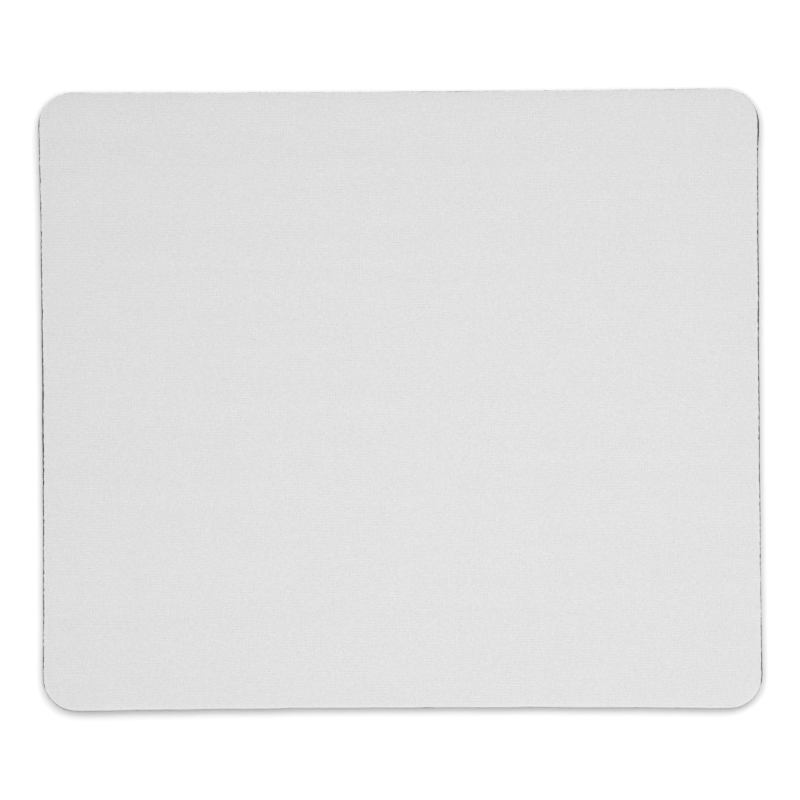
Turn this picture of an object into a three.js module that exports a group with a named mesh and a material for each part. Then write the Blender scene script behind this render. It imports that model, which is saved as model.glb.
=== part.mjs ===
// A mouse pad: a white knitted cloth face, bonded by a thin adhesive film to a black sponge rubber base.
// The three sheets are laminated and then die-cut together, so each one follows the same outline.
// Units are millimetres and +Z is up. The origin is the middle of the underside, +X runs along the
// long side and +Y points away from the person who uses the pad.

import * as THREE from "three";

// Plan of the pad, measured over its corners.
const PAD_WIDTH = 220;
const PAD_DEPTH = 189.2;
const CORNER_RADIUS = 10;

// How far the middle of each side is drawn in from a straight line between its two corners.
// The sheet creeps under the knife and springs back afterwards, so each side has its own amount.
const LEFT_BOW = 0.6;
const RIGHT_BOW = 0.3;
const FAR_BOW = 0.4;
const NEAR_BOW = 0.65;

// Thickness of each sheet, from the desk upwards.
const RUBBER_THICKNESS = 2.5;
const FILM_THICKNESS = 0.125;
const CLOTH_THICKNESS = 0.375;

// The cloth shrinks back from the cut. Along the left and right sides that bares a thin ledge of rubber.
const LEDGE_AT_SIDES = 0.25;
const LEDGE_AT_ENDS = 0.05;

// The film stops a little inside the edge of the cloth, so that no adhesive squeezes out.
const FILM_SET_BACK = 0.2;

// The knife squeezes the sponge, so its cut wall is hollow at mid height and its lower edge is eased.
const WALL_HOLLOW = 0.25;
const LOWER_EDGE_RADIUS = 0.3;

// The cloth's upper edge is pressed down to a soft round.
const CLOTH_EDGE_RADIUS = 0.2;

// Straight steps that stand for each bowed side (a corner has twice as many), for the hollow wall and
// for each eased edge.
const CURVE_STEPS = 8;
const WALL_STEPS = 6;
const ROUND_STEPS = 3;

// The pad's outline, moved inwards by a set-back along X and one along Y.
function padOutline(setBackX, setBackY) {
  const halfWidth = PAD_WIDTH / 2 - setBackX;
  const halfDepth = PAD_DEPTH / 2 - setBackY;
  const centreX = PAD_WIDTH / 2 - CORNER_RADIUS;
  const centreY = PAD_DEPTH / 2 - CORNER_RADIUS;
  const radiusX = halfWidth - centreX;
  const radiusY = halfDepth - centreY;
  const quarter = Math.PI / 2;

  // A quadratic curve passes half way between its chord and its control point, hence the factor of two.
  const outline = new THREE.Shape();
  outline.absellipse(centreX, -centreY, radiusX, radiusY, -quarter, 0);
  outline.quadraticCurveTo(halfWidth - 2 * RIGHT_BOW, 0, halfWidth, centreY);
  outline.absellipse(centreX, centreY, radiusX, radiusY, 0, quarter);
  outline.quadraticCurveTo(0, halfDepth - 2 * FAR_BOW, -centreX, halfDepth);
  outline.absellipse(-centreX, centreY, radiusX, radiusY, quarter, 2 * quarter);
  outline.quadraticCurveTo(-halfWidth + 2 * LEFT_BOW, 0, -halfWidth, -centreY);
  outline.absellipse(-centreX, -centreY, radiusX, radiusY, 2 * quarter, 3 * quarter);
  outline.quadraticCurveTo(0, -halfDepth + 2 * NEAR_BOW, centreX, -halfDepth);

  // The path ends where it starts, so its last point is left out.
  return outline.getPoints(CURVE_STEPS).slice(0, -1);
}

// A closed sheet lofted through levels, from the lowest up. Each level is the pad's outline at a
// height z, with its set-backs along X and Y.
function loftSheet(levels) {
  const rings = levels.map(({ setBackX, setBackY }) => padOutline(setBackX, setBackY));
  const count = rings[0].length;
  const positions = rings.flatMap((ring, level) =>
    ring.flatMap((point) => [point.x, point.y, levels[level].z]),
  );

  const faces = [];
  for (let level = 0; level < rings.length - 1; level++) {
    for (let i = 0; i < count; i++) {
      const low = level * count + i;
      const lowNext = level * count + ((i + 1) % count);
      faces.push(low, lowNext, lowNext + count, low, lowNext + count, low + count);
    }
  }
  const top = (rings.length - 1) * count;
  for (const [a, b, c] of THREE.ShapeUtils.triangulateShape(rings[0], [])) {
    faces.push(c, b, a);
  }
  for (const [a, b, c] of THREE.ShapeUtils.triangulateShape(rings.at(-1), [])) {
    faces.push(top + a, top + b, top + c);
  }

  const geometry = new THREE.BufferGeometry();
  geometry.setAttribute("position", new THREE.Float32BufferAttribute(positions, 3));
  geometry.setIndex(faces);
  geometry.computeVertexNormals();
  return geometry;
}

function sheet(name, levels, restsAt, material) {
  const mesh = new THREE.Mesh(loftSheet(levels), material);
  mesh.name = name;
  mesh.position.z = restsAt;
  return mesh;
}

// Black sponge rubber: a flat underside, an eased lower edge and a hollow cut wall.
function rubberBase() {
  const levels = [];
  for (let step = 0; step < ROUND_STEPS; step++) {
    const angle = (step / ROUND_STEPS) * (Math.PI / 2);
    const setBack = LOWER_EDGE_RADIUS * (1 - Math.sin(angle));
    const z = LOWER_EDGE_RADIUS * (1 - Math.cos(angle));
    levels.push({ setBackX: setBack, setBackY: setBack, z });
  }
  for (let step = 0; step <= WALL_STEPS; step++) {
    const rise = step / WALL_STEPS;
    const setBack = WALL_HOLLOW * 4 * rise * (1 - rise);
    const z = LOWER_EDGE_RADIUS + rise * (RUBBER_THICKNESS - LOWER_EDGE_RADIUS);
    levels.push({ setBackX: setBack, setBackY: setBack, z });
  }
  const material = new THREE.MeshStandardMaterial({ color: 0x262626, roughness: 0.9, metalness: 0 });
  return sheet("rubber_base", levels, 0, material);
}

// Clear hot-melt adhesive film, hidden between the rubber and the cloth.
function bondFilm() {
  const setBackX = LEDGE_AT_SIDES + FILM_SET_BACK;
  const setBackY = LEDGE_AT_ENDS + FILM_SET_BACK;
  const levels = [
    { setBackX, setBackY, z: 0 },
    { setBackX, setBackY, z: FILM_THICKNESS },
  ];
  const material = new THREE.MeshStandardMaterial({ color: 0xb9b4a6, roughness: 0.5, metalness: 0 });
  return sheet("bond_film", levels, RUBBER_THICKNESS, material);
}

// White polyester knit, with its cut edge pressed to a soft round.
function clothFace() {
  const levels = [{ setBackX: LEDGE_AT_SIDES, setBackY: LEDGE_AT_ENDS, z: 0 }];
  for (let step = 0; step <= ROUND_STEPS; step++) {
    const angle = (step / ROUND_STEPS) * (Math.PI / 2);
    const setBack = CLOTH_EDGE_RADIUS * (1 - Math.cos(angle));
    const z = CLOTH_THICKNESS - CLOTH_EDGE_RADIUS * (1 - Math.sin(angle));
    levels.push({ setBackX: LEDGE_AT_SIDES + setBack, setBackY: LEDGE_AT_ENDS + setBack, z });
  }
  const material = new THREE.MeshStandardMaterial({ color: 0xe2e2e2, roughness: 0.95, metalness: 0 });
  return sheet("cloth_face", levels, RUBBER_THICKNESS + FILM_THICKNESS, material);
}

const mousePad = new THREE.Group();
mousePad.name = "mouse_pad";
mousePad.add(rubberBase(), bondFilm(), clothFace());

export default mousePad;
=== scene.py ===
"""A mouse pad, white knitted cloth on black sponge rubber, seen from straight above on white card.

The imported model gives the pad's size and the level of each sheet. Here a finished sheet takes the
place of each plain one: the sponge base with its porous cut wall and embossed underside, the adhesive
film, and the cloth with its pressed rim and frayed edge. Lengths are in metres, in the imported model's
own frame: +X along the long side, +Y away from the person who uses the pad, +Z up.
"""

import math

import bpy
import numpy as np
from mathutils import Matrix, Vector
from mathutils.geometry import delaunay_2d_cdt


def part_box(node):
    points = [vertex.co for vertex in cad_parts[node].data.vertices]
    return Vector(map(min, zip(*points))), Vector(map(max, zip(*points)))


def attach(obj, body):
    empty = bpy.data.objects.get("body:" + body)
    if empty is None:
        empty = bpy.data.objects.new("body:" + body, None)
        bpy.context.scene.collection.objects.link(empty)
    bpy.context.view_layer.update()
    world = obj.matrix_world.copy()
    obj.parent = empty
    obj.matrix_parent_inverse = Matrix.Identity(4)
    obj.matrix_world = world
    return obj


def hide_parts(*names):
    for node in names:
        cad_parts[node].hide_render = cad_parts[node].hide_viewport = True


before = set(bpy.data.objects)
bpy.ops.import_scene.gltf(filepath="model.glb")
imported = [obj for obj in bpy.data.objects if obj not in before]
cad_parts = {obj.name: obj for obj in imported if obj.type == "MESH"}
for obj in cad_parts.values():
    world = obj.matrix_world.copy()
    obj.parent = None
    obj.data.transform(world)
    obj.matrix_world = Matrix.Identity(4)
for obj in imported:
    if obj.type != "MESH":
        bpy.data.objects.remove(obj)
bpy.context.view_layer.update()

MM = 0.001
BODY = "root"

# Plan of the pad and the level of each sheet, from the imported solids.
base_low, base_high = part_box("rubber_base")
_, film_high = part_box("bond_film")
_, cloth_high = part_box("cloth_face")
HALF_WIDTH = base_high[0]
HALF_DEPTH = base_high[1]
DESK_LEVEL = base_low[2]
RUBBER_TOP = base_high[2]
FILM_TOP = film_high[2]
CLOTH_TOP = cloth_high[2]
LEDGE_AT_SIDES = base_high[0] - cloth_high[0]
LEDGE_AT_ENDS = base_high[1] - cloth_high[1]
FILM_SET_BACK = cloth_high[0] - film_high[0]

# The outline's corners, and how far each side is drawn in at its middle.
CORNER_RADIUS = 10 * MM
RIGHT_BOW = 0.3 * MM
FAR_BOW = 0.4 * MM
LEFT_BOW = 0.6 * MM
NEAR_BOW = 0.65 * MM

# Points that draw each corner and each side, before the cut is divided into even steps. The way that
# the cut heads at a step is taken over a few steps either way.
CORNER_POINTS = 80
SIDE_POINTS = 200
CUT_STEP = 0.27 * MM
HEADING_STEPS = 4

# The cut wanders a little from the die's line, with a finer ripple on top of that.
CUT_WANDER = 0.03 * MM
CUT_WANDER_LENGTH = 38 * MM
CUT_RIPPLE_LENGTH = 6 * MM
CUT_RIPPLE_SHARE = 0.5

# Each of these, and of the ledge's ripples, is a sum of this many waves. How often a wave fits into one
# lap of the cut is drawn from between these shares of what its length would give.
RIPPLE_WAVES = 30
RIPPLE_SPREAD = (0.6, 1.7)

# The bare ledge of rubber runs out where the outline turns this far from a side (the X part of its
# outward direction).
SIDE_TURN = 0.93

# The ledge's roughness, as the size and length of each ripple in millimetres, and the share of it that
# is left at the far and near ends.
LEDGE_RIPPLES = ((0.03, 14), (0.045, 3.2), (0.03, 1.1))
RIPPLE_AT_ENDS = 0.4

# Where the cloth has shrunk back further, or less, than it mostly has: a place on the outline (x, y),
# how far the change reaches either way, and the change in the width of bare rubber, in millimetres.
LEDGE_CHANGES = (
    (110, 82, 4.5, 0.26),
    (110, 74, 5, -0.04),
    (110, 0, 70, 0.02),
    (110, 35, 24, 0.08),
    (110, -55, 24, -0.1),
    (110, -82, 4, 0.14),
    (-110, 70, 20, -0.04),
    (-110, 0, 70, 0.055),
    (-110, -6, 26, 0.15),
    (31, 95, 3.5, 0.07),
    (18, 95, 6, 0.1),
    (6, 95, 4.5, 0.1),
    (86, 95, 8, 0.06),
    (-99, 94, 4, 0.07),
    (-103, -92.5, 6, 0.12),
    (0, -95, 90, -0.05),
    (8, -95, 2.2, 0.2),
    (14, -95, 4, -0.05),
)

# Where the cut itself strays from the die's line, given in the same way. A plus is inwards.
CUT_CHANGES = (
    (0, 95, 120, -0.1),
    (100, -95, 60, -0.18),
    (-100, -95, 60, 0.05),
    (-55, -95, 40, 0.08),
    (95, -95, 14, -0.1),
    (-110, 0, 70, -0.03),
    (110, 0, 70, -0.04),
    (-110, 50, 28, 0.11),
    (-110, -62, 34, 0.13),
    (110, 66, 10, 0.13),
    (110, -66, 30, 0.1),
    (-107, -92, 8, 0.4),
    (107, 92, 8, 0.21),
    (110, 82.5, 4, -0.24),
    (110, 75, 5, 0.08),
    (8, -95, 2.5, -0.12),
    (-103, -93, 5, -0.12),
)

# The sponge base's wall: its hollow, its eased edges, and the rings of points that draw them. One more
# ring, under the cloth, keeps the ledge flat.
WALL_HOLLOW = 0.25 * MM
LOWER_EDGE_RADIUS = 0.3 * MM
UPPER_EDGE_RADIUS = 0.08 * MM
LOWER_EDGE_RINGS = 3
WALL_RINGS = 9
LEDGE_RING_INSET = 1.5 * MM

# Cells that the knife has opened: their radius, their depth as a share of it, and how many there are.
# The wall's top ring has shallower ones, and the ledge's rim takes a share of those.
CELL_RADIUS = (0.22 * MM, 0.5 * MM)
CELL_DEPTH = 0.32
CELLS_PER_MM2 = 1.6
TOP_CELL_SHARE = 0.5
LEDGE_CELL_SHARE = 0.4

# The underside's square studs, between two sets of grooves at a slant to the sides.
STUD_PITCH = 2.8 * MM
STUD_TURN = math.pi / 4
GROOVE_HALF_WIDTH = 0.4 * MM
GROOVE_DEPTH = 0.22 * MM
EMBOSS_MARGIN = 0.7 * MM

# The cloth's face, with the very slight waves that the press has left in it.
CLOTH_GRID = 2.5 * MM
CLOTH_WAVE = 0.03 * MM
CLOTH_WAVE_LENGTH = 34 * MM
CLOTH_WAVE_SPREAD = (0.6, 1.8)
CLOTH_WAVES = 12

# The cloth's rim, from below: how far in from the cut edge in millimetres, and the share of the height
# from the rubber to the cloth's face.
RIM_WIDTH = 0.6 * MM
RIM_PROFILE = (
    (0.15, 0.0),
    (0.06, 0.0),
    (0.0, 0.25),
    (0.01, 0.6),
    (0.04, 0.82),
    (0.1, 0.93),
    (0.2, 0.97),
    (0.35, 0.985),
)
FACE_MARGIN = 3 * RIM_WIDTH

# The rim is pressed paler than the face. Painted light makes it paler still at the near end, and
# painted shade makes it darker at the far end.
RIM_TONE = 0.3
RIM_PAINTED_LIGHT_TO_NEAR = 0.9

# The cut ends of the yarn: short stubs all round, and a few longer loose fibres.
STUB_COUNT = 3200
STUB_LENGTH = (0.08 * MM, 0.32 * MM)
STUB_RADIUS = 0.035 * MM
FIBRE_COUNT = 260
FIBRE_LENGTH = (0.3 * MM, 0.95 * MM)
FIBRE_RADIUS = 0.016 * MM

# How a yarn end lies: the spread of its heading in radians, and as shares of its length the middle and
# spread of its rise, and its droop. It starts just inside the rim, between two shares of the cloth's
# height, and narrows by a share of its radius.
YARN_SWING = 0.6
YARN_RISE = (0.05, 0.25)
YARN_DROOP = (-0.1, 0.5)
YARN_ROOT_INSET = 0.06 * MM
YARN_ROOT_HEIGHT = (0.25, 0.85)
YARN_TAPER = 0.6
YARN_SIDES = 3
YARN_JOINTS = 3

# The photograph's frame: its side and the pad's width and middle in it, in pixels, and the pad's turn
# in radians. A long lens, because the photograph shows no wall of the pad.
PHOTO_SIDE = 800
PAD_PIXELS = 719.8
PAD_MIDDLE = (400.25, 400.25)
PAD_TURN = 0.0066
LENS_LENGTH = 200
SENSOR_WIDTH = 36

# Stage: a white card floor in a white room. Between two distances from the pad's middle the card's
# glow grows from its lift to plain white. A square lamp hangs above the near right part of the pad.
# The lift and the sky's and the lamp's levels are shares of plain white.
FLOOR_HALF = 3.0
CARD_LIFT = 0.113
LIFT_FROM, LIFT_TO = 0.15, 0.5
SKY_LEVEL = 0.03
LAMP_LEVEL = 0.99
LAMP_AT = (0.046, -0.049, 0.36)
LAMP_SIZE = 0.58

# A broad soft light beyond each far corner: its height above the floor, bearing and spread, in degrees,
# and its strength.
BROAD_LIGHTS = {"left_light": (22, 148, 87, 2.15), "right_light": (33.5, 57, 59, 1.585)}

# Sockets that share a name with others on their node, by number.
MIX_A, MIX_B = 2, 3
MIX_COLOUR_A, MIX_COLOUR_B, MIXED_COLOUR = 6, 7, 2
VECTOR_FROM_MIN, VECTOR_FROM_MAX, VECTOR_TO_MAX = 7, 8, 10

NO_POINTS = np.zeros((0, 3))
FULL_TURN = 2 * math.pi
QUARTER_TURN = math.pi / 2

SEED = 7
random = np.random.default_rng(SEED)


def linear(colour):
    """An sRGB hex value, such as "#e2e2e2", as a linear colour with full alpha."""
    parts = [int(colour[i:i + 2], 16) / 255 for i in (1, 3, 5)]
    return [p / 12.92 if p <= 0.04045 else ((p + 0.055) / 1.055) ** 2.4 for p in parts] + [1.0]


def add(tree, kind, settings=None, inputs=None):
    """Adds a node. settings are its own properties, and inputs its sockets' values or links."""
    node = tree.nodes.new("ShaderNode" + kind)
    for name, value in (settings or {}).items():
        setattr(node, name, value)
    for name, value in (inputs or {}).items():
        if isinstance(value, bpy.types.NodeSocket):
            tree.links.new(value, node.inputs[name])
        else:
            node.inputs[name].default_value = value
    return node


def new_material(name):
    """A material with no nodes yet, and its node tree."""
    material = bpy.data.materials.new(name)
    material.use_nodes = True
    material.node_tree.nodes.clear()
    return material, material.node_tree


def point_in_mm(tree):
    """The point on the piece in millimetres, so that a pattern's scale is one over its real size."""
    point = add(tree, "TexCoord").outputs["Object"]
    in_mm = add(tree, "VectorMath", {"operation": "SCALE"}, {0: point, "Scale": 1 / MM})
    return in_mm.outputs[0]


# Polyester filament in a fine knit, heat-set flat and left matt: the eye sees an even white, with
# columns of small V-shaped stitches, and patches where either the rows or the columns catch the light,
# drawn as painted glints in the colour.
# Those rows and columns are drawn about twice as coarse as they are, so that they still show.
def knitted_polyester():
    # Sizes in millimetres: a stitch across and along its column, the columns and rows of painted glints,
    # a patch of them, one loop of yarn, and the length over which the press has pulled the knit aside,
    # with how far.
    wale_pitch, course_pitch = 0.55, 0.45
    glint_wale_pitch, glint_course_pitch = 0.82, 0.86
    patch_size, loop_size = 2.6, 0.28
    pull_length, pull_reach = 9, 0.9
    loop_scatter = 0.7

    # Each run of tone: its length along X and along Y in millimetres, and its detail.
    runs = {
        "course": (250, 9, 4.0),
        "wale": (10, 150, 4.0),
        "row_yarn": (1.2, 0.5, 1.0),
        "column_yarn": (0.5, 1.2, 1.0),
    }
    run_roughness = 0.75

    # The part of the patches' noise over which yarn turns from rows to columns, and the part over
    # which rows or columns come to carry painted glints.
    turn_from, turn_to = 0.46, 0.54
    glint_from, glint_to = 0.5, 0.72

    # How far each pattern takes the tone from the darker colour to the paler one, and where it starts.
    shares = {
        "stitch": 0.14,
        "loop": 0.42,
        "yarn": 0.76,
        "painted_glint": 0.15,
        "wale": 0.11,
        "course": 0.22,
        "rim": 0.45,
    }
    tone = -0.245

    material, tree = new_material("knitted_polyester")
    point = point_in_mm(tree)
    pull = add(tree, "TexNoise", {}, {"Vector": point, "Scale": 1 / pull_length, "Detail": 1.0})
    pulled = add(tree, "VectorMath", {"operation": "MULTIPLY_ADD"},
                 {0: pull.outputs["Color"], 1: (pull_reach, pull_reach, 0.0), 2: point})

    # Each stitch is a V: across runs from the middle of a column to its edge, the same to either
    # side, and each leg climbs as it goes across.
    in_stitches = add(tree, "VectorMath", {"operation": "MULTIPLY"},
                      {0: pulled.outputs[0], 1: (1 / wale_pitch, 1 / course_pitch, 0.0)})
    stitches = add(tree, "SeparateXYZ", {}, {0: in_stitches.outputs[0]})
    across = add(tree, "Math", {"operation": "PINGPONG"}, {0: stitches.outputs["X"], 1: 0.5})
    along = add(tree, "Math", {"operation": "SUBTRACT"},
                {0: stitches.outputs["Y"], 1: across.outputs[0]})
    legs = add(tree, "CombineXYZ", {}, {"X": across.outputs[0], "Y": along.outputs[0]})
    leg_turns = add(tree, "VectorMath", {"operation": "SCALE"},
                    {0: legs.outputs[0], "Scale": FULL_TURN})
    leg_waves = add(tree, "VectorMath", {"operation": "SINE"}, {0: leg_turns.outputs[0]})
    leg = add(tree, "SeparateXYZ", {}, {0: leg_waves.outputs[0]})
    stitch = add(tree, "Math", {"operation": "MULTIPLY_ADD"},
                 {0: leg.outputs["X"], 1: leg.outputs["Y"], 2: leg.outputs["X"]})

    # Single loops, and runs of thicker and thinner yarn.
    loops = add(tree, "TexVoronoi", {},
                {"Vector": point, "Scale": 1 / loop_size, "Randomness": loop_scatter})
    loop = add(tree, "SeparateColor", {}, {0: loops.outputs["Color"]})
    run = {}
    for name, (along_x, along_y, detail) in runs.items():
        drawn_out = add(tree, "VectorMath", {"operation": "MULTIPLY"},
                        {0: point, 1: (1 / along_x, 1 / along_y, 0.0)})
        noise = add(tree, "TexNoise", {}, {"Vector": drawn_out.outputs[0], "Scale": 1.0,
                                           "Detail": detail, "Roughness": run_roughness})
        run[name] = noise.outputs[0]

    # Patches: in some the yarn runs in rows and in others in columns, and some of the rows and columns
    # carry painted glints, paler lines drawn in the colour as if they caught the light.
    patch = add(tree, "TexNoise", {}, {"Vector": point, "Scale": 1 / patch_size, "Detail": 0.0})
    patch_parts = add(tree, "SeparateColor", {}, {0: patch.outputs["Color"]})
    turned = add(tree, "MapRange", {}, {"Value": patch_parts.outputs[1],
                                        "From Min": turn_from, "From Max": turn_to})
    yarn = add(tree, "Mix", {},
               {0: turned.outputs[0], MIX_A: run["row_yarn"], MIX_B: run["column_yarn"]})
    line_turns = add(tree, "VectorMath", {"operation": "MULTIPLY"}, {
        0: pulled.outputs[0],
        1: (FULL_TURN / glint_wale_pitch, FULL_TURN / glint_course_pitch, 0.0)})
    line_waves = add(tree, "VectorMath", {"operation": "COSINE"}, {0: line_turns.outputs[0]})
    painted_glint_patches = add(tree, "MapRange", {"data_type": "FLOAT_VECTOR"}, {
        "Vector": patch.outputs["Color"], VECTOR_FROM_MIN: (glint_from, glint_from, 0.0),
        VECTOR_FROM_MAX: (glint_to, glint_to, 1.0), VECTOR_TO_MAX: (1.0, 1.0, 0.0)})
    # Painted glint: paler lines in the colour that stand in for light caught by the rows and columns.
    painted_glint = add(tree, "VectorMath", {"operation": "DOT_PRODUCT"},
                {0: line_waves.outputs[0], 1: painted_glint_patches.outputs["Vector"]})

    # The rim's tone: pressed paler, with painted light at the near end and painted shade at the far end.
    rim = add(tree, "Attribute", {"attribute_name": "rim"})
    patterns = {
        "stitch": stitch.outputs[0],
        "loop": loop.outputs[0],
        "yarn": yarn.outputs[0],
        "painted_glint": painted_glint.outputs["Value"],
        "wale": run["wale"],
        "course": run["course"],
        "rim": rim.outputs["Fac"],
    }
    for name, share in shares.items():
        sum_so_far = add(tree, "Math", {"operation": "MULTIPLY_ADD"},
                         {0: patterns[name], 1: share, 2: tone})
        tone = sum_so_far.outputs[0]
    colour = add(tree, "Mix", {"data_type": "RGBA"},
                 {0: tone, MIX_COLOUR_A: linear("#cbcbcb"), MIX_COLOUR_B: linear("#e0e0e0")})
    height = add(tree, "Math", {"operation": "ADD"}, {0: stitch.outputs[0], 1: yarn.outputs[0]})
    bump = add(tree, "Bump", {},
               {"Strength": 0.35, "Distance": 0.05 * MM, "Height": height.outputs[0]})
    cloth = add(tree, "BsdfPrincipled", {}, {
        "Base Color": colour.outputs[MIXED_COLOUR], "Normal": bump.outputs[0], "Roughness": 0.92,
        "IOR": 1.57, "Specular IOR Level": 0.2, "Sheen Weight": 0.1, "Sheen Roughness": 0.5})
    add(tree, "OutputMaterial", {}, {"Surface": cloth.outputs[0]})
    return material


# Foamed rubber filled with carbon black: dull, nearly black, with a grain of cut cells in every face.
def sponge_rubber():
    # Sizes in millimetres: a cell, and a cloud of dust on the faces.
    cell_size, dust_size = 0.45, 0.8
    material, tree = new_material("sponge_rubber")
    point = point_in_mm(tree)
    cells = add(tree, "TexVoronoi", {}, {"Vector": point, "Scale": 1 / cell_size})
    dust = add(tree, "TexNoise", {}, {"Vector": point, "Scale": 1 / dust_size, "Detail": 3.0})
    tone = add(tree, "Math", {"operation": "MULTIPLY"},
               {0: cells.outputs["Distance"], 1: dust.outputs[0]})
    colour = add(tree, "Mix", {"data_type": "RGBA"}, {
        0: tone.outputs[0], MIX_COLOUR_A: linear("#1e1e1f"), MIX_COLOUR_B: linear("#48484a")})
    rough = add(tree, "MapRange", {}, {"Value": dust.outputs[0], "From Min": 0.3, "From Max": 0.7,
                                       "To Min": 0.78, "To Max": 0.95})
    bump = add(tree, "Bump", {},
               {"Strength": 0.6, "Distance": 0.08 * MM, "Height": cells.outputs["Distance"]})
    rubber = add(tree, "BsdfPrincipled", {}, {
        "Base Color": colour.outputs[MIXED_COLOUR], "Roughness": rough.outputs[0],
        "Normal": bump.outputs[0], "IOR": 1.52})
    add(tree, "OutputMaterial", {}, {"Surface": rubber.outputs[0]})
    return material


# Hot-melt polyurethane web, pressed and set: a waxy, yellowish film with a little cloud in it.
def hot_melt_film():
    cloud_size = 4
    material, tree = new_material("hot_melt_film")
    point = point_in_mm(tree)
    cloud = add(tree, "TexNoise", {}, {"Vector": point, "Scale": 1 / cloud_size, "Detail": 3.0})
    colour = add(tree, "Mix", {"data_type": "RGBA"}, {
        0: cloud.outputs[0], MIX_COLOUR_A: linear("#a79f8c"), MIX_COLOUR_B: linear("#c9c3b4")})
    rough = add(tree, "MapRange", {}, {"Value": cloud.outputs[0], "From Min": 0.3, "From Max": 0.7,
                                       "To Min": 0.4, "To Max": 0.6})
    film = add(tree, "BsdfPrincipled", {}, {
        "Base Color": colour.outputs[MIXED_COLOUR], "Roughness": rough.outputs[0], "IOR": 1.5})
    add(tree, "OutputMaterial", {}, {"Surface": film.outputs[0]})
    return material


def seen_directly(tree):
    """1 for what is seen, straight or in a shiny or clear surface, and 0 for what lights the pad."""
    path = add(tree, "LightPath")
    straight_or_shiny = add(tree, "Math", {"operation": "MAXIMUM"},
                            {0: path.outputs["Is Camera Ray"], 1: path.outputs["Is Glossy Ray"]})
    seen = add(tree, "Math", {"operation": "MAXIMUM"},
               {0: straight_or_shiny.outputs[0], 1: path.outputs["Is Transmission Ray"]})
    return seen.outputs[0]


# Matt white card: it shows the pad's shadow, and a glow that grows away from the pad turns the open
# card to plain white.
def white_card():
    material, tree = new_material("white_card")
    card = add(tree, "BsdfDiffuse", {}, {"Color": linear("#fafafa")})
    point = add(tree, "TexCoord").outputs["Object"]
    away = add(tree, "VectorMath", {"operation": "LENGTH"}, {0: point})
    lift = add(tree, "MapRange", {}, {
        "Value": away.outputs["Value"], "From Min": LIFT_FROM, "From Max": LIFT_TO,
        "To Min": CARD_LIFT, "To Max": 1.0})
    lift_seen = add(tree, "Math", {"operation": "MULTIPLY"},
                    {0: seen_directly(tree), 1: lift.outputs[0]})
    glow = add(tree, "Emission", {}, {"Strength": lift_seen.outputs[0]})
    both = add(tree, "AddShader", {}, {0: card.outputs[0], 1: glow.outputs[0]})
    add(tree, "OutputMaterial", {}, {"Surface": both.outputs[0]})
    return material


def bowed(share):
    """A shallow bow along a length, by the share of it that lies behind: 0 at both ends and 1 midway."""
    return 4 * share * (1 - share)


def cut_line():
    """Even steps round the pad's outline, anticlockwise from the near right corner.

    Gives the points, the outward direction at each, how far along each lies, and the whole length.
    """
    centre = np.array([HALF_WIDTH - CORNER_RADIUS, HALF_DEPTH - CORNER_RADIUS])
    bows = (RIGHT_BOW, FAR_BOW, LEFT_BOW, NEAR_BOW)
    corners = ((1, -1), (1, 1), (-1, 1), (-1, -1))
    arcs = []
    for k, corner in enumerate(corners):
        angle = np.linspace(0, QUARTER_TURN, CORNER_POINTS) + (k - 1) * QUARTER_TURN
        arc = np.stack([np.cos(angle), np.sin(angle)], 1)
        arcs.append(centre * corner + CORNER_RADIUS * arc)
    share = np.linspace(0, 1, SIDE_POINTS)[1:-1, None]
    runs = []
    for k, bow in enumerate(bows):
        start, end = arcs[k][-1], arcs[(k + 1) % 4][0]
        facing = np.array([math.cos(k * QUARTER_TURN), math.sin(k * QUARTER_TURN)])
        side = start + (end - start) * share - facing * bow * bowed(share)
        runs += [arcs[k], side]
    points = np.concatenate(runs)
    points = np.append(points, points[:1], axis=0)
    length = np.append(0, np.cumsum(np.linalg.norm(np.diff(points, axis=0), axis=1)))
    steps = np.linspace(0, length[-1], round(length[-1] / CUT_STEP), endpoint=False)
    even = np.stack([np.interp(steps, length, points[:, i]) for i in (0, 1)], 1)
    heading = np.roll(even, -HEADING_STEPS, axis=0) - np.roll(even, HEADING_STEPS, axis=0)
    heading /= np.linalg.norm(heading, axis=1)[:, None]
    return even, np.stack([heading[:, 1], -heading[:, 0]], 1), steps, length[-1]


def ripple(wave_length):
    """A random wave round the cut, of unit size, that meets itself after one lap."""
    middle = lap / wave_length
    fewest, most = (int(middle * share) for share in RIPPLE_SPREAD)
    counts = random.integers(max(1, fewest), most + 2, RIPPLE_WAVES)
    phases = random.uniform(0, FULL_TURN, RIPPLE_WAVES)
    wave = np.cos(FULL_TURN * travel[:, None] / lap * counts + phases).sum(axis=1)
    return wave / wave.std()


def changes(table):
    """The sum of the listed changes round the cut. Each one fades out smoothly over its reach."""
    total = np.zeros(len(cut))
    for x, y, reach, change in table:
        away = np.hypot(cut[:, 0] / MM - x, cut[:, 1] / MM - y)
        total += change * MM * np.exp(-(away / reach) ** 2)
    return total


def ledge_width():
    """How far the cloth lies inside the rubber round the cut: wider along the left and right sides."""
    turned = np.clip((np.abs(outward[:, 0]) - SIDE_TURN) / (1 - SIDE_TURN), 0, 1)
    side = turned * turned * (3 - 2 * turned)
    rough = sum(size * ripple(length * MM) for size, length in LEDGE_RIPPLES)
    width = LEDGE_AT_ENDS + (LEDGE_AT_SIDES - LEDGE_AT_ENDS) * side
    share = RIPPLE_AT_ENDS + (1 - RIPPLE_AT_ENDS) * side
    return width + changes(LEDGE_CHANGES) + rough * MM * share


def ring(edge, inset, height):
    """One level of a sheet: the cut line moved in to an edge and then by an inset, at a height."""
    flat = cut - outward * (edge + inset)[:, None]
    return np.column_stack([flat, np.full(len(cut), height)])


def fill(loop, inside):
    """Triangles that close a loop through the points inside it, as places in loop and then inside."""
    inside_only, merge_within = 1, 1e-9
    points = [Vector(p) for p in loop] + [Vector(p) for p in inside]
    _, _, faces, sources, _, _ = delaunay_2d_cdt(
        points, [], [list(range(len(loop)))], inside_only, merge_within)
    return [[sources[i][0] for i in face] for face in faces]


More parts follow.
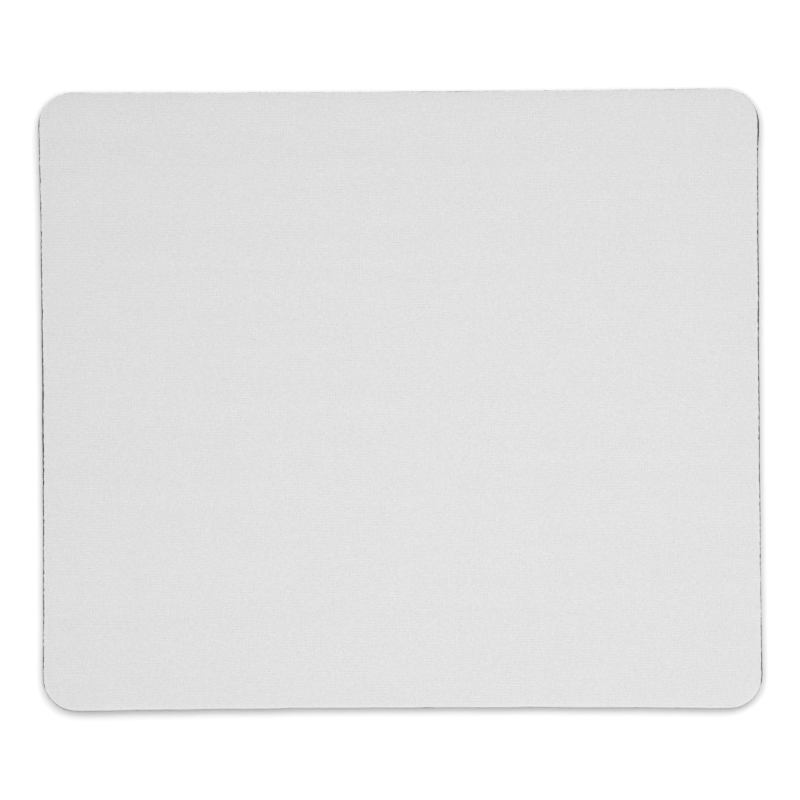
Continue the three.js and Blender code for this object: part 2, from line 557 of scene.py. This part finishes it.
def new_piece(name, points, faces, material):
    """A mesh piece of the pad, with its finish, riding on the pad's one body."""
    mesh = bpy.data.meshes.new(name)
    mesh.from_pydata(points.tolist(), [], faces)
    mesh.validate()
    piece = bpy.data.objects.new(name, mesh)
    bpy.context.scene.collection.objects.link(piece)
    mesh.materials.append(material)
    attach(piece, BODY)
    return piece


def closed_sheet(name, rings, low_inside, high_inside, material, node):
    """A closed sheet: rings from the lowest up, a face across the first and one across the last."""
    count = len(rings[0])
    points = np.concatenate([*rings, low_inside, high_inside])
    top = (len(rings) - 1) * count
    first_low = len(rings) * count
    first_high = first_low + len(low_inside)
    step = np.arange(count)
    after = (step + 1) % count
    faces = []
    for level in range(len(rings) - 1):
        low, high = level * count, (level + 1) * count
        faces += np.column_stack([low + step, low + after, high + after, high + step]).tolist()
    smooth = [True] * len(faces)
    under = fill(rings[0][:, :2], low_inside[:, :2])
    over = fill(rings[-1][:, :2], high_inside[:, :2])
    faces += [[i if i < count else i - count + first_low for i in face[::-1]] for face in under]
    faces += [[i + top if i < count else i - count + first_high for i in face] for face in over]
    smooth += [False] * len(under) + [True] * len(over)
    piece = new_piece(name, points, faces, material)
    piece.data.polygons.foreach_set("use_smooth", smooth)
    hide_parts(node)
    return piece


def grid_inside(lines_u, lines_v, turn, margin):
    """Where two sets of lines cross, turned about the middle, kept a margin inside the outline.

    Gives each crossing's x and y, and its place on the lines before they were turned.
    """
    u, v = (a.ravel() for a in np.meshgrid(lines_u, lines_v))
    x = u * math.cos(turn) - v * math.sin(turn)
    y = u * math.sin(turn) + v * math.cos(turn)
    past_x = np.abs(x) - (HALF_WIDTH - CORNER_RADIUS)
    past_y = np.abs(y) - (HALF_DEPTH - CORNER_RADIUS)
    corner = np.hypot(np.maximum(past_x, 0), np.maximum(past_y, 0))
    inside = np.maximum(np.maximum(past_x, past_y), corner) < CORNER_RADIUS - margin
    return x[inside], y[inside], u[inside], v[inside]


def cut_cells(heights):
    """How deep the knife has opened the sponge's cells, for each height and step round the wall."""
    depth = np.zeros((len(heights), len(cut)))
    step = lap / len(cut)
    tall = heights[-1] - heights[0]
    count = round(CELLS_PER_MM2 * lap * tall / MM ** 2)
    for along, height, radius in zip(random.uniform(0, lap, count),
                                     random.uniform(heights[0], heights[-1], count),
                                     random.uniform(*CELL_RADIUS, count)):
        reach = math.ceil(radius / step)
        columns = np.arange(-reach, reach + 1) + round(along / step)
        far = (columns * step - along) ** 2 + (heights[:, None] - height) ** 2
        columns %= len(cut)
        bowl = CELL_DEPTH * radius * (1 - far / radius ** 2)
        depth[:, columns] = np.maximum(depth[:, columns], bowl)
    return depth


def sponge_base():
    """The rubber sheet: embossed studs below, an eased lower edge and a hollow wall of cut cells."""
    rings = []
    for angle in np.linspace(0, QUARTER_TURN, LOWER_EDGE_RINGS, endpoint=False):
        rings.append(ring(wander, LOWER_EDGE_RADIUS * (1 - math.sin(angle)),
                          DESK_LEVEL + LOWER_EDGE_RADIUS * (1 - math.cos(angle))))
    heights = np.linspace(DESK_LEVEL + LOWER_EDGE_RADIUS, RUBBER_TOP - UPPER_EDGE_RADIUS, WALL_RINGS)
    cells = cut_cells(heights)
    cells[-1] *= TOP_CELL_SHARE
    for height, cell in zip(heights, cells):
        rise = (height - heights[0]) / (heights[-1] - heights[0])
        rings.append(ring(wander, cell + WALL_HOLLOW * bowed(rise), height))
    rings.append(ring(wander, UPPER_EDGE_RADIUS + LEDGE_CELL_SHARE * cells[-1], RUBBER_TOP))
    rings.append(ring(wander, LEDGE_RING_INSET, RUBBER_TOP))

    # Each groove has its two edges and its bottom line, and the studs' faces lie between them.
    grooves_each_way = round(math.hypot(HALF_WIDTH, HALF_DEPTH) / STUD_PITCH)
    grooves = np.arange(-grooves_each_way, grooves_each_way + 1) * STUD_PITCH
    lines = [grooves - GROOVE_HALF_WIDTH, grooves, grooves + GROOVE_HALF_WIDTH]
    lines = np.sort(np.concatenate(lines))
    bow = max(RIGHT_BOW, FAR_BOW, LEFT_BOW, NEAR_BOW)
    x, y, u, v = grid_inside(lines, lines, STUD_TURN, bow + EMBOSS_MARGIN)
    from_groove = [np.abs(w - STUD_PITCH * np.round(w / STUD_PITCH)) for w in (u, v)]
    in_groove = np.clip(1 - np.minimum(*from_groove) / GROOVE_HALF_WIDTH, 0, 1)
    studs = np.column_stack([x, y, DESK_LEVEL + in_groove * GROOVE_DEPTH])
    base = closed_sheet("sponge_base", rings, studs, NO_POINTS, sponge_rubber(),
                        "rubber_base")


def adhesive_layer():
    """The film between rubber and cloth. It stops short of the cloth's edge all round."""
    rings = [ring(cloth_edge, FILM_SET_BACK, level) for level in (RUBBER_TOP, FILM_TOP)]
    return closed_sheet("adhesive_layer", rings, NO_POINTS, NO_POINTS, hot_melt_film(),
                        "bond_film")


def cloth_height(x, y):
    """The lie of the cloth: very slight waves, never above the cloth's level."""
    wave = np.zeros(len(x))
    for _ in range(CLOTH_WAVES):
        angle, phase = random.uniform(0, FULL_TURN, 2)
        turns = FULL_TURN / (CLOTH_WAVE_LENGTH * random.uniform(*CLOTH_WAVE_SPREAD))
        wave += np.cos(turns * (x * math.cos(angle) + y * math.sin(angle)) + phase)
    return CLOTH_TOP - CLOTH_WAVE * (1 + wave / np.abs(wave).max())


def knit_cloth():
    """The cloth: pressed down to the rubber at its cut rim, and lying flat on the film inside it."""
    tall = CLOTH_TOP - RUBBER_TOP
    rings = [ring(cloth_edge, FILM_SET_BACK, FILM_TOP)]
    for inset, rise in RIM_PROFILE:
        rings.append(ring(cloth_edge, inset * MM, RUBBER_TOP + tall * rise))
    rings.append(ring(cloth_edge, RIM_WIDTH, CLOTH_TOP - CLOTH_WAVE))
    lines_x = np.arange(-HALF_WIDTH, HALF_WIDTH, CLOTH_GRID)
    lines_y = np.arange(-HALF_DEPTH, HALF_DEPTH, CLOTH_GRID)
    x, y, _, _ = grid_inside(lines_x, lines_y, 0.0, FACE_MARGIN)
    face = np.column_stack([x, y, cloth_height(x, y)])
    cloth = closed_sheet("knit_cloth", rings, NO_POINTS, face, knitted_polyester(),
                         "cloth_face")

    # The material's tone for the rim, pressed paler, with painted light at the near end and painted
    # shade
    # at the far end: every ring but the innermost, and nothing on the face.
    rim = np.zeros(len(cloth.data.vertices))
    pressed_and_painted_light = np.clip(RIM_TONE - RIM_PAINTED_LIGHT_TO_NEAR * outward[:, 1], -1, 1)
    rim[:(len(rings) - 1) * len(cut)] = np.tile(pressed_and_painted_light, len(rings) - 1)
    cloth.data.attributes.new("rim", "FLOAT", "POINT").data.foreach_set("value", rim)
    return cloth


def yarn_ends(name, count, lengths, radius, material):
    """Cut yarn at the cloth's edge: short tapered hairs, closed all round, pointing out of the rim."""
    up = Vector((0, 0, 1))
    lowest = RUBBER_TOP + radius
    points, faces = [], []
    for _ in range(count):
        at = random.integers(len(cut))
        swing, rise = random.normal(0, YARN_SWING), random.normal(*YARN_RISE)
        length = random.uniform(*lengths)
        droop = random.uniform(*YARN_DROOP)
        out = Vector((*outward[at], 0.0))
        across = Vector((-out.y, out.x, 0.0))
        heading = (out * math.cos(swing) + across * math.sin(swing)).normalized()
        aside = heading.cross(up)
        edge = cut[at] - outward[at] * (cloth_edge[at] + YARN_ROOT_INSET)
        share_up = random.uniform(*YARN_ROOT_HEIGHT)
        root = Vector((*edge, RUBBER_TOP + (CLOTH_TOP - RUBBER_TOP) * share_up))
        first = len(points)
        for joint in range(YARN_JOINTS):
            share = joint / YARN_JOINTS
            middle = root + heading * length * share
            middle.z += length * (rise * share - droop * share * share)
            middle.z = max(middle.z, lowest)
            for side in range(YARN_SIDES):
                angle = FULL_TURN * side / YARN_SIDES
                turned = aside * math.cos(angle) + up * math.sin(angle)
                points.append(middle + turned * radius * (1 - YARN_TAPER * share))
        tip = root + heading * length
        tip.z = max(tip.z + length * (rise - droop), lowest)
        points.append(tip)

        # Sides between one joint and the next, then the point, then the root's own face.
        corners = [(side, (side + 1) % YARN_SIDES) for side in range(YARN_SIDES)]
        for joint in range(YARN_JOINTS - 1):
            low = first + joint * YARN_SIDES
            high = low + YARN_SIDES
            faces += [[low + a, low + b, high + b, high + a] for a, b in corners]
        last = first + (YARN_JOINTS - 1) * YARN_SIDES
        faces += [[last + a, last + b, last + YARN_SIDES] for a, b in corners]
        faces.append([first + side for side in reversed(range(YARN_SIDES))])
    return new_piece(name, np.array(points), faces, material)


# The cut that all three sheets follow, and how far inside the die's line the rubber and the cloth end.
cut, outward, travel, lap = cut_line()
wander = CUT_WANDER * (ripple(CUT_WANDER_LENGTH) + CUT_RIPPLE_SHARE * ripple(CUT_RIPPLE_LENGTH))
wander = wander + changes(CUT_CHANGES)
cloth_edge = wander + ledge_width()

sponge_base()
film = adhesive_layer()
cloth = knit_cloth()
knit = cloth.data.materials[0]
ends = [yarn_ends("yarn_stubs", STUB_COUNT, STUB_LENGTH, STUB_RADIUS, knit),
        yarn_ends("loose_fibres", FIBRE_COUNT, FIBRE_LENGTH, FIBRE_RADIUS, knit)]

floor_mesh = bpy.data.meshes.new("card_floor")
floor_corners = [(x * FLOOR_HALF, y * FLOOR_HALF, 0) for x, y in ((-1, -1), (1, -1), (1, 1), (-1, 1))]
floor_mesh.from_pydata(floor_corners, [], [(0, 1, 2, 3)])
floor = bpy.data.objects.new("card_floor", floor_mesh)
bpy.context.scene.collection.objects.link(floor)
floor_mesh.materials.append(white_card())

world = bpy.data.worlds.new("white_room")
world.use_nodes = True
room = world.node_tree
room.nodes.clear()
level = add(room, "MapRange", {},
            {"Value": seen_directly(room), "To Min": SKY_LEVEL, "To Max": 1.0})
sky = add(room, "Background", {}, {"Color": linear("#ffffff"), "Strength": level.outputs[0]})
add(room, "OutputWorld", {}, {"Surface": sky.outputs[0]})
bpy.context.scene.world = world

for name, (height, bearing, spread, strength) in BROAD_LIGHTS.items():
    broad = bpy.data.lights.new(name, "SUN")
    broad.angle = math.radians(spread)
    broad.energy = strength
    broad_light = bpy.data.objects.new(name, broad)
    broad_light.rotation_euler = (0, math.radians(90 - height), math.radians(bearing))
    bpy.context.scene.collection.objects.link(broad_light)

# A small lamp of this power would light white card straight below it to the lamp's level.
lamp = bpy.data.lights.new("near_lamp", "AREA")
lamp.size = LAMP_SIZE
lamp.energy = LAMP_LEVEL * (math.pi * LAMP_AT[2]) ** 2
near_lamp = bpy.data.objects.new("near_lamp", lamp)
near_lamp.location = LAMP_AT
bpy.context.scene.collection.objects.link(near_lamp)

# Camera: straight above, turned so that the pad lies as it does in the photograph.
lens = bpy.data.cameras.new("overhead_camera")
lens.lens = LENS_LENGTH
lens.sensor_width = SENSOR_WIDTH
frame_side = 2 * HALF_WIDTH * PHOTO_SIDE / PAD_PIXELS
camera = bpy.data.objects.new("overhead_camera", lens)
offset = [(PHOTO_SIDE / 2 - p) * frame_side / PHOTO_SIDE for p in PAD_MIDDLE]
camera.location = (offset[0], -offset[1], RUBBER_TOP + frame_side * LENS_LENGTH / SENSOR_WIDTH)
camera.rotation_euler = (0, 0, -PAD_TURN)
bpy.context.scene.collection.objects.link(camera)
bpy.context.scene.camera = camera
bpy.context.scene.view_settings.view_transform = "Standard"
